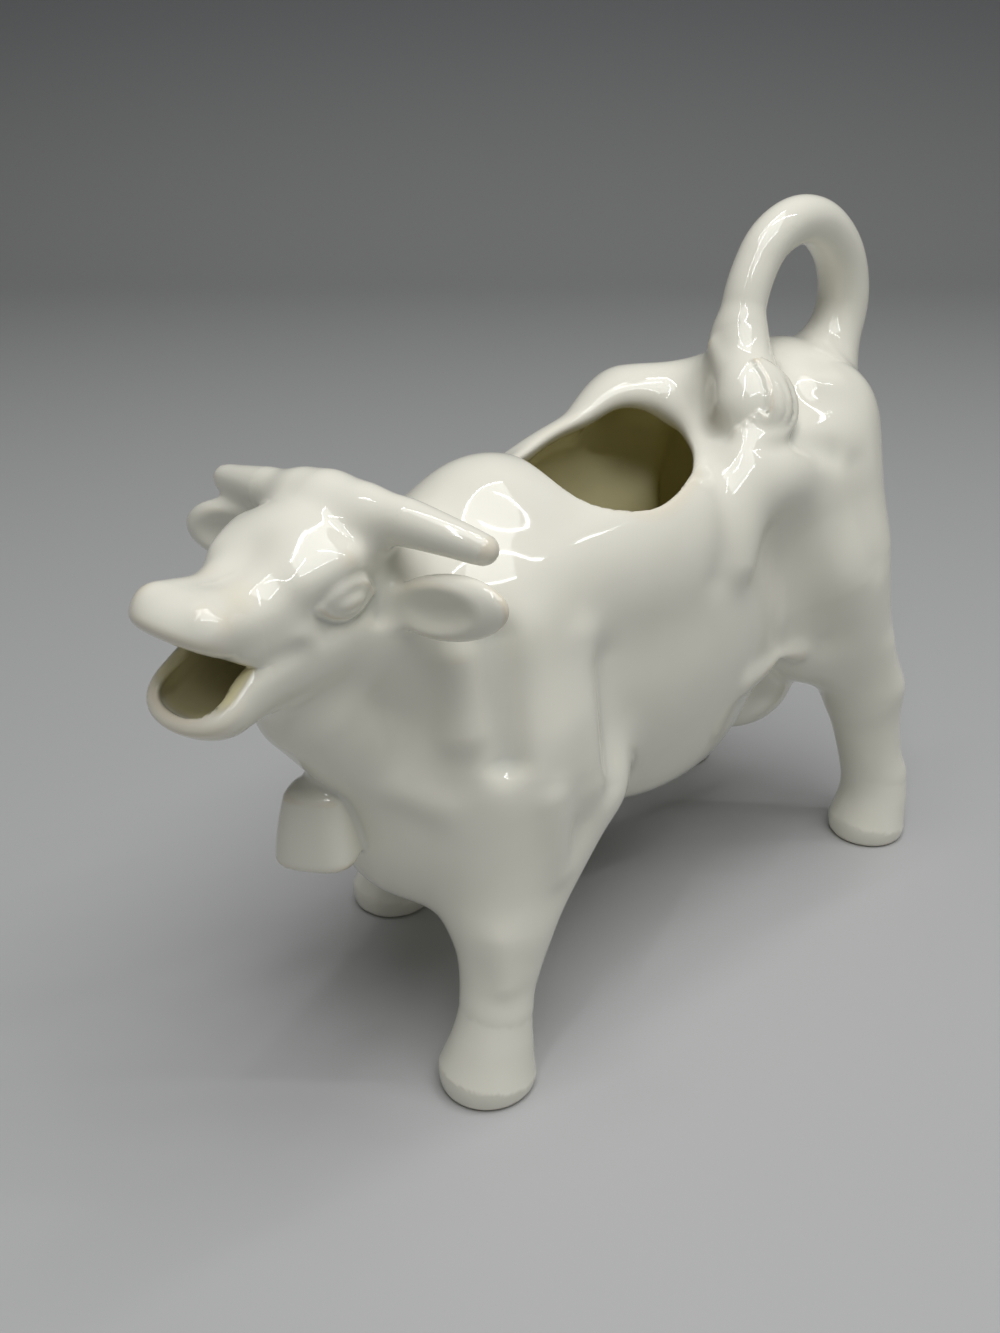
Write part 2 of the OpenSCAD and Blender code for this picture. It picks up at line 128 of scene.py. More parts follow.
# %% [markdown]
# ## The barrel, the neck and the skull
# Most lumps are those that the part's solids are made of, written as shares of the body's
# length, width and height, so the fine skin lies on the solids. Barrel, chest, brisket, rump
# and withers come once; shoulder, haunch, hip bone and pin bone come as pairs. The last ones
# of the body, the belly line and the saddle behind the opening, and the last two of the head,
# the crest between the horns and the throat, are only in the skin.

# %% Lumps of the body and the head
def body_egg(middle, half, side=1):
    return np.array(middle) * [1, side, 1] * BODY, np.array(half) * BODY, None


def in_head(shares):
    return EARS_AT + HEAD_AXES @ (np.array(shares) * HEAD)


def from_ears(x, y, z):
    return EARS_AT + HEAD_AXES @ np.array([x, y, z])


def head_egg(middle, half, nod, side=1):
    return (in_head(np.array(middle) * [1, side, 1]), np.array(half) * HEAD,
            turned(HEAD_TURN, HEAD_TILT, nod))


TORSO = [
    body_egg([-0.09, 0, 0.61], [0.33, 0.455, 0.305]),
    body_egg([0.165, 0, 0.57], [0.2, 0.41, 0.305]),
    body_egg([0.28, 0, 0.41], [0.125, 0.3, 0.165]),
    body_egg([-0.415, 0, 0.8], [0.165, 0.39, 0.235]),
    body_egg([0.16, 0, 0.84], [0.115, 0.26, 0.155]),
    body_egg([-0.455, 0, 0.98], [0.13, 0.2, 0.105]),
    body_egg([-0.03, 0, 0.79], [0.34, 0.42, 0.165]),
    body_egg([-0.345, 0, 0.885], [0.12, 0.33, 0.1]),
    body_egg([-0.14, -0.28, 0.87], [0.14, 0.12, 0.1]),
    body_egg([-0.225, -0.3, 0.94], [0.08, 0.12, 0.085]),
    body_egg([-0.12, 0, 0.42], [0.2, 0.33, 0.145]),
    (np.array([-36.5, -6.2, 86.8]), np.array([-28.0, -15.7, 85.3]), 5.8, 5.2),
]
for side in (1, -1):
    TORSO += [
        body_egg([0.22, 0.24, 0.615], [0.12, 0.21, 0.27], side),
        body_egg([-0.44, 0.25, 0.69], [0.13, 0.235, 0.28], side),
        body_egg([-0.27, 0.27, 0.88], [0.08, 0.15, 0.08], side),
        body_egg([-0.07, 0.28, 0.83], [0.2, 0.09, 0.08], side),
        body_egg([-0.49, 0.2, 0.93], [0.08, 0.15, 0.105], side),
    ]
HEAD_AND_NECK = [
    (np.array([0.2, 0, 0.69]) * BODY, np.array([0.385, 0.04, 0.83]) * BODY,
     0.3 * BODY[1], 0.26 * BODY[1]),
    (np.array([0.286, 0, 0.44]) * BODY, np.array([0.46, 0.05, 0.7]) * BODY,
     0.2 * BODY[1], 0.17 * BODY[1]),
    head_egg([-0.02, 0, -0.02], [0.22, 0.33, 0.28], 0),
    head_egg([0.14, 0, 0.06], [0.14, 0.26, 0.17], 25),
    head_egg([0.14, 0, -0.23], [0.25, 0.32, 0.22], 12),
    head_egg([0.575, 0, -0.045], [0.1, 0.27, 0.1], 0),
    head_egg([0.55, 0, -0.4], [0.11, 0.25, 0.1], 0),
    (in_head([0.19, 0, -0.15]), in_head([0.42, 0, -0.2]), 0.3 * HEAD[1], 0.245 * HEAD[1]),
    (from_ears(-0.4, -4, 6.3), from_ears(-0.4, 5, 6.5), 2.8, 2.8),
    (in_head([0.36, 0, -0.34]), in_head([0.14, 0, -0.58]), 3.2, 4.5),
]
for side in (1, -1):
    HEAD_AND_NECK += [
        head_egg([0.19, 0.25, 0.05], [0.1, 0.1, 0.08], 10, side),
        (in_head([0.19, side * 0.11, -0.02]), in_head([0.545, side * 0.13, -0.05]),
         0.19 * HEAD[1], 0.115 * HEAD[1]),
        (in_head([0.19, side * 0.1, -0.3]), in_head([0.51, side * 0.115, -0.385]),
         0.205 * HEAD[1], 0.15 * HEAD[1])]
print(len(TORSO), "lumps in the body,", len(HEAD_AND_NECK), "in the neck and head")


# %% [markdown]
# ## Horns, ears, legs and udder
# An ear or the udder is one egg, and a leg is a small heap of limbs. A horn is a short tapered
# rope of clay through five marks that are measured from between the ears, and the two meet
# there. Each piece is joined to what carries it with a fillet, as slip is wiped into the angle
# with a wet finger.

# %% Horns and ears
HORN_BACK = [0.2, 0.5, 1.2, 2.2, 3.2]
HORN_OUT = [1, 7, 12, 17.5, 22]
HORN_UP = {1: [6.4, 6.9, 6.9, 6.3, 5.6], -1: [6.5, 5.9, 5.2, 4.4, 3.8]}
HORN_STEPS = np.linspace(0, 1, 33)
HORN_R = np.interp(HORN_STEPS, [0, 0.5, 1], [3.2, 3.0, 1.9])
EAR_OUT, EAR_BACK, EAR_DOWN = 18.8, 0.8, 2.2
EAR_HALF = np.array([2.4, 9.2, 4.3])
EAR_LIFT = {1: 16.0, -1: 11.0}


def horn_way(side):
    marks = zip(HORN_BACK, HORN_OUT, HORN_UP[side])
    return curve_at([from_ears(-back, side * out, up) for back, out, up in marks], HORN_STEPS)


def ear_axes(side):
    return turned(HEAD_TURN, HEAD_TILT - EAR_LIFT[side])


def ear_at(side):
    return from_ears(-EAR_BACK, side * EAR_OUT, -EAR_DOWN)


print("horns reach", HORN_OUT[-1], "mm out, ears", EAR_OUT + EAR_HALF[1])


# %% Legs and udder
STANCE = 23.2
SWAY = 2.8
HOOF_R = 7.35
SOLE_UP, ANKLE_UP, FLARE_UP, ANKLE_BACK = 2.6, 8.5, 12.0, 1.4
FRONT_R, REAR_R = 5.7, 6.55
HOOF_X = {"leg_front_left": 37.0, "leg_front_right": 19.0,
          "leg_rear_left": -63.5, "leg_rear_right": -60.0}


def leg_lumps(top, knee, hoof, top_r, shank_r):
    ankle = hoof + [-ANKLE_BACK, 0, ANKLE_UP]
    sole, flare = hoof + [0, 0, SOLE_UP], hoof + [-2.0, 0, FLARE_UP]
    return [
        (top, knee, top_r, shank_r * 1.08),
        (knee, ankle, shank_r * 1.05, shank_r * 0.8),
        (sole, flare, HOOF_R, shank_r * 0.76)]


def front_leg_lumps(side, x):
    hoof = np.array([x, side * STANCE - SWAY, 0])
    top = np.array([0.245, side * 0.3, 0.54]) * BODY
    elbow = np.array([0.13, side * 0.4, 0.46]) * BODY
    knee = np.array([x - 5, side * 20.7 - SWAY, 25.08])
    forearm_end = knee * 0.6 + (hoof + [-ANKLE_BACK, 0, 10.5]) * 0.4 - [1.5, 0, 0]
    return [(top, elbow, 7.0, 3.4), (elbow, forearm_end, 3.6, 4.8)] + leg_lumps(
        top, knee, hoof, 9.05, FRONT_R)


def rear_leg_lumps(side, x):
    hoof = np.array([x, side * STANCE - SWAY, 0])
    top = np.array([-0.44, side * 0.28, 0.66]) * BODY
    knee = np.array([x + 2.5, side * 20.2 - SWAY, 31.68])
    return leg_lumps(top, knee, hoof, 11.4, REAR_R)


UDDER = [(np.array([-0.4, 0, 0.375]) * BODY, np.array([12.5, 10.0, 9.0]), None)]
print("hooves at x", HOOF_X)


# %% [markdown]
# ## The tail handle
# The tail is a round rope of clay. Its way is a smooth curve through a few points, thick at the
# rump and thinner where it comes down to the hip, where it ends in a tuft of hair. How far a
# point lies from a rope is found from the nearest mark on the way, and then three times from
# the small arc that runs through that mark and its two neighbours.

# %% The way of the tail
def curve_at(points, share):
    points = np.asarray(points, float)
    last = len(points) - 1
    place = np.clip(np.asarray(share, float), 0, 1) * last
    i = np.minimum(place.astype(int), last - 1)
    f = (place - i)[..., None]
    a, b = points[np.maximum(i - 1, 0)], points[i]
    c, d = points[i + 1], points[np.minimum(i + 2, last)]
    return (2 * b + f * (c - a) + f**2 * (2 * a - 5 * b + 4 * c - d)
            + f**3 * (3 * b - a - 3 * c + d)) / 2


TAIL_ROOT = np.array([-0.565, 0, 1.01]) * BODY
TAIL_POINTS = np.array([
    [0.12, 0, -0.4], [-0.01, 0, -0.12], [-0.1, 0, 0.14], [-0.16, 0, 0.42], [-0.09, 0, 0.68],
    [0.08, 0, 0.86], [0.28, 0, 0.9], [0.47, 0, 0.8], [0.6, 0.01, 0.6], [0.68, 0.03, 0.37],
    [0.73, 0.06, 0.15], [0.74, 0.08, -0.1]]) * [37.0, 46.0, 29.0] + TAIL_ROOT
TAIL_WAY = curve_at(TAIL_POINTS, np.linspace(0, 1, 89))
run = np.append(0, np.cumsum(np.linalg.norm(np.diff(TAIL_WAY, axis=0), axis=1)))
TAIL_ROOT_R, TAIL_END_R, TAIL_THINS = 5.2, 3.7, 1.4
TAIL_R = TAIL_ROOT_R + (TAIL_END_R - TAIL_ROOT_R) * np.minimum(1, run / run[-1] * TAIL_THINS)
print("tail", round(run[-1], 1), "mm long, top at", TAIL_WAY[:, 2].max().round(1))


def rope_gap(points, way, radii):
    near = np.argmin((way * way).sum(axis=1) - 2 * (points @ way.T), axis=1)
    near = np.clip(near, 1, len(way) - 2)
    before, at, after = way[near - 1], way[near], way[near + 1]
    ahead, curl, off = (after - before) / 2, after - 2 * at + before, points - at
    slide = np.zeros(len(points))
    for again in range(3):
        left = off - slide[:, None] * ahead - (slide * slide / 2)[:, None] * curl
        pace = ahead + slide[:, None] * curl
        steep = np.einsum("ij,ij->i", pace, pace) - np.einsum("ij,ij->i", left, curl)
        slide += np.einsum("ij,ij->i", left, pace) / np.maximum(steep, 0.01)
        slide = np.clip(slide, -1, 1)
    left = off - slide[:, None] * ahead - (slide * slide / 2)[:, None] * curl
    radius = radii[near] + slide * (radii[near + 1] - radii[near - 1]) / 2
    return np.sqrt(np.einsum("ij,ij->i", left, left)) - radius


# %% [markdown]
# ## The tuft of hair
# The tail ends in a flat curl of hair pressed against the hip. It is a soft pad, and on it lie
# strands that run down from the tail and hook round at the bottom, one inside the other. They
# are the same curve at four sizes. A strand is drawn flat first and then laid on the pad: from
# above each of its points the pad is looked for, and what it finds is smoothed a little.

# %% The pad and its strands
CURL_AT = np.array([-30.6, 10.2, 89.4])
TUFT_REACH = 18
PAD_SOFT, STRAND_SOFT = 5.0, 0.7
curl_out = np.array([0.42, 0.74, 0.53]) / np.linalg.norm([0.42, 0.74, 0.53])
curl_right = np.cross([0, 0, 1.0], curl_out)
curl_right /= np.linalg.norm(curl_right)
curl_down = -np.cross(curl_out, curl_right)
CURL_AXES = np.stack([curl_right, curl_down, curl_out], 1)
PAD = CURL_AT - 0.6 * curl_out, np.array([5.4, 6.0, 3.4]), CURL_AXES
PAD_LIMB = curve_at(TAIL_POINTS, 0.84), CURL_AT - 2.6 * curl_out, 4.0, 5.2


def pad_gap(points):
    return joined(limb_gap(points, *PAD_LIMB), egg_gap(points, *PAD), PAD_SOFT)


def laid_on_pad(flat):
    under = CURL_AT + flat @ CURL_AXES[:, :2].T
    ups = np.arange(9.0, -5.0, -0.04)
    spots = (under[:, None] + ups[:, None] * curl_out).reshape(-1, 3)
    hip = joined(clay_gap(spots, TORSO, SOFT), rope_gap(spots, TAIL_WAY, TAIL_R), TAIL_JOIN)
    buried = joined(hip, pad_gap(spots), TUFT_JOIN).reshape(len(flat), -1) < 0
    up = ups[np.argmax(buried, axis=1)]
    up = np.convolve(np.pad(up, 2, "edge"), np.full(5, 0.2), "valid")
    return under + up[:, None] * curl_out


def strand(reach, thick):
    low = 0.45 + 0.55 * reach / 6.0
    bends = [(0.3 * reach - 0.4, -6.0), (0.8 * reach, -3.0), (reach, 0.8),
             (0.8 * reach, 4.6 * low), (0.05 * reach, 6.3 * low), (-0.62 * reach - 0.4, 4.9 * low)]
    way = laid_on_pad(curve_at(bends, np.linspace(0, 1, 25)))
    return way - 0.2 * thick * curl_out, thick * np.sin(np.linspace(0.2, math.pi - 0.25, 25)) ** 0.6


STRANDS = [strand(5.6, 1.25), strand(4.0, 1.1), strand(2.5, 1.05), strand(1.1, 1.05)]
print(len(STRANDS), "strands in the tuft")


def tuft_gap(points):
    gap = pad_gap(points)
    for way, radii in STRANDS:
        gap = joined(gap, rope_gap(points, way, radii), STRAND_SOFT)
    return gap


# %% [markdown]
# ## The bell
# A cowbell is folded from sheet: flat sided, wider at its mouth than at its crown.

# %% The bell
BELL_AT = np.array([0.455, 0, 0.472]) * BODY
BELL_TURN, BELL_HIGH, BELL_ROUND, BELL_REACH = 36.0, 11.5, 1.4, 11
BELL_MOUTH, BELL_CROWN = np.array([5.4, 6.0]), np.array([3.4, 4.0])
BELL_EYE = BELL_AT + [-0.8, 0, 6.0], np.array([2.2, 2.6, 2.4])
SQUARISH = 3


def bell_gap(points):
    own = (points - BELL_AT) @ turned(BELL_TURN)
    rise = np.clip(own[:, 2] / BELL_HIGH + 0.5, 0, 1)[:, None] ** 1.6
    half = BELL_MOUTH + (BELL_CROWN - BELL_MOUTH) * rise
    share = np.abs(own[:, :2]) / half
    size = np.maximum((share**SQUARISH).sum(axis=1) ** (1 / SQUARISH), 1e-3)
    steep = np.linalg.norm((share / size[:, None]) ** (SQUARISH - 1) / half, axis=1)
    beside = (size - 1) / np.maximum(steep, 0.05) + BELL_ROUND
    above = np.abs(own[:, 2]) - BELL_HIGH / 2 + BELL_ROUND
    out = np.stack([beside, above], 1)
    cup = np.linalg.norm(np.maximum(out, 0), axis=1) + np.minimum(out.max(axis=1), 0) - BELL_ROUND
    return joined(cup, egg_gap(points, *BELL_EYE), 2.0)


print("bell", BELL_HIGH, "mm high at", BELL_AT.round(1))


# %% [markdown]
# ## All the pieces together
# Every piece has its name, its own field and the width of the fillet that joins it on.
# A piece is only worked out close to where it lies, which saves most of the time.

# %% The pieces and where they lie
def lumps_box(lumps, margin):
    ends = []
    for lump in lumps:
        if len(lump) == 3:
            r = np.full(3, max(lump[1]))
            ends += [lump[0] - r, lump[0] + r]
        else:
            ends += [lump[0] - lump[2], lump[0] + lump[2], lump[1] - lump[3], lump[1] + lump[3]]
    return np.min(ends, axis=0) - margin, np.max(ends, axis=0) + margin


def heap(name, lumps, join, soft=1.2):
    low, high = lumps_box(lumps, join + 2)
    return name, (lambda p: clay_gap(p, lumps, soft)), join, low, high


def rope(name, way, radii, join):
    low, high = way.min(axis=0) - radii.max() - join - 2, way.max(axis=0) + radii.max() + join + 2
    return name, (lambda p: rope_gap(p, way, radii)), join, low, high


PIECES = [
    heap("head_spout", HEAD_AND_NECK, NECK_JOIN, HEAD_SOFT),
    rope("horn_left", horn_way(1), HORN_R, HORN_JOIN),
    rope("horn_right", horn_way(-1), HORN_R, HORN_JOIN),
    heap("ear_left", [(ear_at(1), EAR_HALF, ear_axes(1))], EAR_JOIN),
    heap("ear_right", [(ear_at(-1), EAR_HALF, ear_axes(-1))], EAR_JOIN),
]
for name, x in HOOF_X.items():
    side = 1 if name.endswith("left") else -1
    if "front" in name:
        PIECES.append(heap(name, front_leg_lumps(side, x), SHOULDER_JOIN))
    else:
        PIECES.append(heap(name, rear_leg_lumps(side, x), HIP_JOIN))
PIECES += [
    heap("udder", UDDER, UDDER_JOIN),
    rope("tail_handle", TAIL_WAY, TAIL_R, TAIL_JOIN),
    ("tail_tuft", tuft_gap, TUFT_JOIN, CURL_AT - TUFT_REACH, CURL_AT + TUFT_REACH),
    ("bell", bell_gap, BELL_JOIN, BELL_AT - BELL_REACH, BELL_AT + BELL_REACH),
]
NAMES = ["body_shell"] + [piece[0] for piece in PIECES]
print(len(NAMES), "pieces")


# %% [markdown]
# ## The modeller's touches
# On top of the lumps lie the traces of the thumb: ridges pushed up and grooves pressed in, a
# millimetre or so high or deep. Each is a short line on the skin with a width and a height,
# and it fades away to the sides. They come on both flanks; those of the head turn with it.

# %% Ridges and grooves
BODY_TOUCHES = [
    ([13.6, 20.6, 61], [14.5, 22.8, 43], 3.0, -0.8),
    ([17.5, 20.0, 66], [18.7, 22.7, 45], 3.2, 0.7),
    ([32.0, 17.5, 69], [32.8, 20.4, 53], 3.0, -2.0),
    ([37.0, 15.4, 67], [36.9, 16.3, 57], 2.8, 1.5),
    ([38.0, 15.2, 51], [33.0, 19.5, 52], 4.6, -0.6),
    ([27.2, 19.3, 69], [24.3, 22.1, 57], 5.0, 0.8),
    ([43.2, 10.3, 48], [39.4, 14.2, 46], 3.0, 0.8),
    ([27.4, 23.8, 46], [25.1, 22.8, 33], 2.6, 1.1),
    ([21.4, 22.3, 39], [25.5, 21.5, 31], 2.4, -0.3),
    ([-23.9, 13.9, 84], [-17.8, 20.0, 68], 3.2, 1.1),
    ([-17.0, 14.5, 82], [-11.0, 20.0, 68], 3.4, -0.6),
    ([-29.2, 19.0, 70], [-42.0, 19.5, 48], 5.0, -2.1),
    ([-46.1, 20.7, 78], [-49.2, 24.9, 62], 3.4, -0.8),
    ([-57.6, 24.2, 43], [-60.9, 25.0, 34], 3.2, 0.6),
    ([-21.5, 19.0, 46], [-39.3, 17.3, 45], 2.4, 1.4),
    ([-45.1, 11.4, 91], [-49.0, 12.1, 90], 3.0, 0.8),
    ([-41.6, 18.8, 81], [-34.2, 16.9, 84], 2.6, -0.8),
    ([36.5, 23.0, 26], [36.8, 24.2, 19], 2.4, 0.5),
]
TAIL_TOUCHES = [
    ([-31.6, 0.0, 97], [-29.4, 6.9, 92], 1.5, 0.6),
    ([-29.4, 6.9, 92], [-28.7, 10.5, 87], 1.5, 0.6),
]
HEAD_TOUCHES = [
    ([2.0, 8.6, 2.6], [6.5, 9.2, 3.6], 2.2, 0.4),
    ([6.5, 9.2, 3.6], [12.0, 7.6, 2.0], 2.2, 0.4),
    ([15.5, 0.0, 4.0], [17.5, 4.5, 3.0], 3.6, -0.9),
    ([25.0, 4.6, 1.2], [24.0, 5.8, 0.2], 1.8, 0.5),
    ([3.6, 9.4, -1.8], [9.1, 9.0, -2.2], 2.6, -1.1),
    ([2.6, 8.8, -4.2], [9.6, 8.8, -4.6], 1.8, -0.7),
    ([6.0, 9.5, -4.6], [13.5, 8.6, -4.4], 1.8, 0.35),
    ([19.5, 7.0, -7.0], [14.5, 8.6, -6.2], 1.3, -0.5),
    ([14.0, 0.0, 6.0], [20.0, 0.0, 4.0], 2.6, -0.35),
]


def touches(points, lines, height_to_skin):
    for start, end, width, height in lines:
        far = limb_gap(points, np.array(start), np.array(end), 0, 0) / width
        height_to_skin += height * np.exp(-np.minimum(far * far, 30))
    return height_to_skin


def touched(points):
    mirrored = np.abs(points * [0, 1, 0]) + points * [1, 0, 1]
    own = (points - EARS_AT) @ HEAD_AXES
    own[:, 1] = np.abs(own[:, 1])
    height = touches(mirrored, BODY_TOUCHES, np.zeros(len(points)))
    return touches(own, HEAD_TOUCHES, touches(points, TAIL_TOUCHES, height))


print(len(BODY_TOUCHES), "touches on each flank,", len(HEAD_TOUCHES), "on each side of the head")


# %% [markdown]
# ## The eyes and the ears' dishes
# An eye is a small ball in its socket between two lids. Its lids are thin rolls that follow
# the side of the skull, which is found by walking in from outside. Each ear is hollowed in
# front, as a leaf is.

# %% Eyes and dishes
def side_of_head(x, z):
    y = np.arange(15.0, 3.0, -0.02)
    own = np.stack([np.full_like(y, x), y, np.full_like(y, z)], 1)
    inside = clay_gap(EARS_AT + own @ HEAD_AXES.T, HEAD_AND_NECK, HEAD_SOFT) < 0
    return y[np.argmax(inside)]


def lid(marks, thick):
    steps = np.linspace(0, 1, 17)
    way = curve_at([[x, side_of_head(x, z) + out, z] for x, z, out in marks], steps)
    return way, thick * np.interp(steps, [0, 0.3, 0.7, 1], [0.55, 1, 1, 0.55])


UPPER_LID = lid([(2.6, -1.9, -0.9), (3.7, -0.4, -0.4), (6.2, 0.5, -0.3), (8.7, -0.1, -0.4),
                 (10.4, -1.6, -0.8)], 0.8)
LOWER_LID = lid([(2.6, -1.9, -0.9), (4.1, -3.1, -0.7), (6.5, -3.7, -0.7), (8.9, -2.9, -0.7),
                 (10.4, -1.6, -0.8)], 0.6)
EYE_BALL = np.array([6.4, side_of_head(6.4, -1.5) - 0.8, -1.6]), np.array([3.0, 1.7, 1.7])
EYE_REGION, EAR_REGION = ([6.7, 9.5, -1.6], [7, 5, 6]), [6, 11, 7]
BALL_SOFT, UPPER_SOFT, LOWER_SOFT = 0.7, 1.2, 1.0
DISH_AT, DISH_HALF, DISH_EDGE = np.array([2.9, -2.0, -0.1]), np.array([2.3, 7.4, 2.9]), 1.4
print("eye at", EYE_BALL[0].round(1), "from the ears")


def with_eyes(points, gap):
    own = (points - EARS_AT) @ HEAD_AXES
    own[:, 1] = np.abs(own[:, 1])
    near = np.flatnonzero(np.all(np.abs(own - EYE_REGION[0]) < EYE_REGION[1], axis=1))
    if len(near):
        there = own[near]
        eye = joined(gap[near], egg_gap(there, *EYE_BALL), BALL_SOFT)
        eye = joined(eye, rope_gap(there, *UPPER_LID), UPPER_SOFT)
        gap[near] = joined(eye, rope_gap(there, *LOWER_LID), LOWER_SOFT)
    for side in (1, -1):
        own = (points - ear_at(side)) @ ear_axes(side)
        near = np.flatnonzero(np.all(np.abs(own) < EAR_REGION, axis=1))
        if len(near):
            dish = egg_gap(own[near], DISH_AT * [1, side, 1], DISH_HALF)
            gap[near] = carved(gap[near], dish, DISH_EDGE)
    return gap


# %% [markdown]
# ## The hollow
# A slip casting has the same wall everywhere, so its hollow is the same field one wall
# thickness further in. The head's way thins towards the lips. An oval shaft, wider towards the
# withers, opens the back, and a wedge opens the mouth.

# %% The hollow, the opening and the mouth
OVAL_AT, OVAL_HALF = np.array([-7.9, 0.8]), np.array([18.7, 11.6])
OVAL_TURN, OVAL_WIDENS, SHAFT_FLOOR = 19.0, 0.27, 56.3
GAPE_X, GAPE_Z, GAPE_DEGREES, GAPE_ABOVE = 0.46, -0.24, 66, 0.47
THROAT_SOFT, SHAFT_SOFT, GAPE_SOFT, RIM_ROUND, SOLE_ROUND = 3.0, 6.0, 1.0, 1.6, 0.8
ON_THE_ROPE = 0.02
print("opening", OVAL_HALF * 2, "mm, gape", GAPE_DEGREES, "degrees")


def hollow_gap(points, torso, head):
    share = (points - EARS_AT) @ HEAD_AXES / HEAD
    thinning = np.interp(share[:, 0], [-0.6, 0.04, 0.28, 0.5], [0, 0.22, 0.51, 1])
    barrel = torso + WALL
    way = head + WALL - (WALL - LIP) * thinning
    oval = ((points[:, :2] - OVAL_AT) @ turned(OVAL_TURN)[:2, :2]) / OVAL_HALF
    oval[:, 1] /= 1 + OVAL_WIDENS * np.clip(oval[:, 0], -1, 1)
    size = np.linalg.norm(oval, axis=1)
    shaft = size * (size - 1) / np.maximum(np.linalg.norm(oval / OVAL_HALF, axis=1), 1e-6)
    shaft = np.maximum(shaft, SHAFT_FLOOR - points[:, 2])
    ahead, rise = (share[:, 0] - GAPE_X) * HEAD[0], (share[:, 2] - GAPE_Z) * HEAD[2]
    up = math.radians(GAPE_DEGREES * GAPE_ABOVE)
    down = math.radians(GAPE_DEGREES * (1 - GAPE_ABOVE))
    gape = np.maximum(rise * math.cos(up) - ahead * math.sin(up),
                      -rise * math.cos(down) - ahead * math.sin(down))
    inner = joined(joined(barrel, way, THROAT_SOFT), shaft, SHAFT_SOFT)
    return joined(inner, gape, GAPE_SOFT)


def outside_gap(points, want_label=False):
    torso = clay_gap(points, TORSO, SOFT)
    gap, best = torso.copy(), torso.copy()
    head = np.full(len(points), 50.0, points.dtype)
    tail = head.copy()
    label = np.zeros(len(points), int)
    for n, (name, piece_gap, join, low, high) in enumerate(PIECES, 1):
        near = np.flatnonzero(np.all((points > low) & (points < high), axis=1))
        if not len(near):
            continue
        own = piece_gap(points[near])
        gap[near] = joined(gap[near], own, join)
        if name == "head_spout":
            head[near] = own
        if name == "tail_handle":
            tail[near] = own
            continue
        if want_label:
            nearer = near[own < best[near]]
            label[nearer] = n
            best[near] = np.minimum(best[near], own)
    close = np.flatnonzero(np.abs(gap) < 5)
    gap[close] -= touched(points[close])
    if want_label:
        label[np.abs(tail - gap) < ON_THE_ROPE] = NAMES.index("tail_handle")
    return with_eyes(points, gap), torso, head, label


def jug_gap(points):
    gap, torso, head, _ = outside_gap(points)
    gap = carved(gap, hollow_gap(points, torso, head), RIM_ROUND)
    return carved(gap, points[:, 2], SOLE_ROUND)


def label_of(points):
    gap, torso, head, label = outside_gap(points, True)
    deep = gap < -0.9
    label[deep] = (head < torso)[deep]
    return label


# %% [markdown]
# ## From the field to a skin
# The field is worked out on a lattice of points, finer round the tuft and finest round the
# head. Wherever it changes sign between two neighbours the skin passes, so each lattice cell
# that the skin crosses gets one vertex, and each crossed edge gets one quad: a surface net.
# The vertices are then slid along the field's slope until they lie on the skin exactly. A
# remesher or metaballs would do the same, but neither leaves a wall of even thickness.

# %% The lattice
def spaced(marks, gaps):
    line = [marks[0]]
    for end, gap in zip(marks[1:], gaps):
        line += list(np.linspace(line[-1], end, max(2, int(round((end - line[-1]) / gap))) + 1)[1:])
    return np.array(line, np.float32)


coarse = 1.0
XS = spaced([-75, -40, -18, 38, 81], coarse * np.array([1.2, 0.72, 1.2, 0.38]))
YS = spaced([-35, 32], coarse * np.array([0.56]))
ZS = spaced([-1.6, 56, 97, 121], coarse * np.array([0.75, 0.45, 0.55]))
NEAR_SKIN = 3.4
print("lattice", len(XS), len(YS), len(ZS), "=", len(XS) * len(YS) * len(ZS) / 1e6, "million points")


# %% Working the field out on the lattice, only near the skin
def in_batches(function, points, size=16000):
    parts = [points[i:i + size] for i in range(0, len(points), size)]
    with ThreadPoolExecutor(4) as pool:
        return np.concatenate(list(pool.map(function, parts)))


def lattice_values():
    shape = np.array([len(XS), len(YS), len(ZS)])
    step = 4
    marks = [np.unique(np.append(np.arange(0, n, step), n - 1)) for n in shape]
    corner = np.stack(np.meshgrid(XS[marks[0]], YS[marks[1]], ZS[marks[2]], indexing="ij"), -1)
    rough = in_batches(jug_gap, corner.reshape(-1, 3)).reshape(corner.shape[:3])
    owner = [np.minimum(np.arange(n) // step, len(m) - 1) for n, m in zip(shape, marks)]
    values = rough[np.ix_(*owner)].astype(np.float32)
    low = np.abs(values) < NEAR_SKIN
    where = np.flatnonzero(low.reshape(-1))
    i, j, k = np.unravel_index(where, shape)
    points = np.stack([XS[i], YS[j], ZS[k]], 1)
    values.reshape(-1)[where] = in_batches(jug_gap, points)
    print("field worked out at", round(len(where) / 1e6, 2), "million points")
    return values


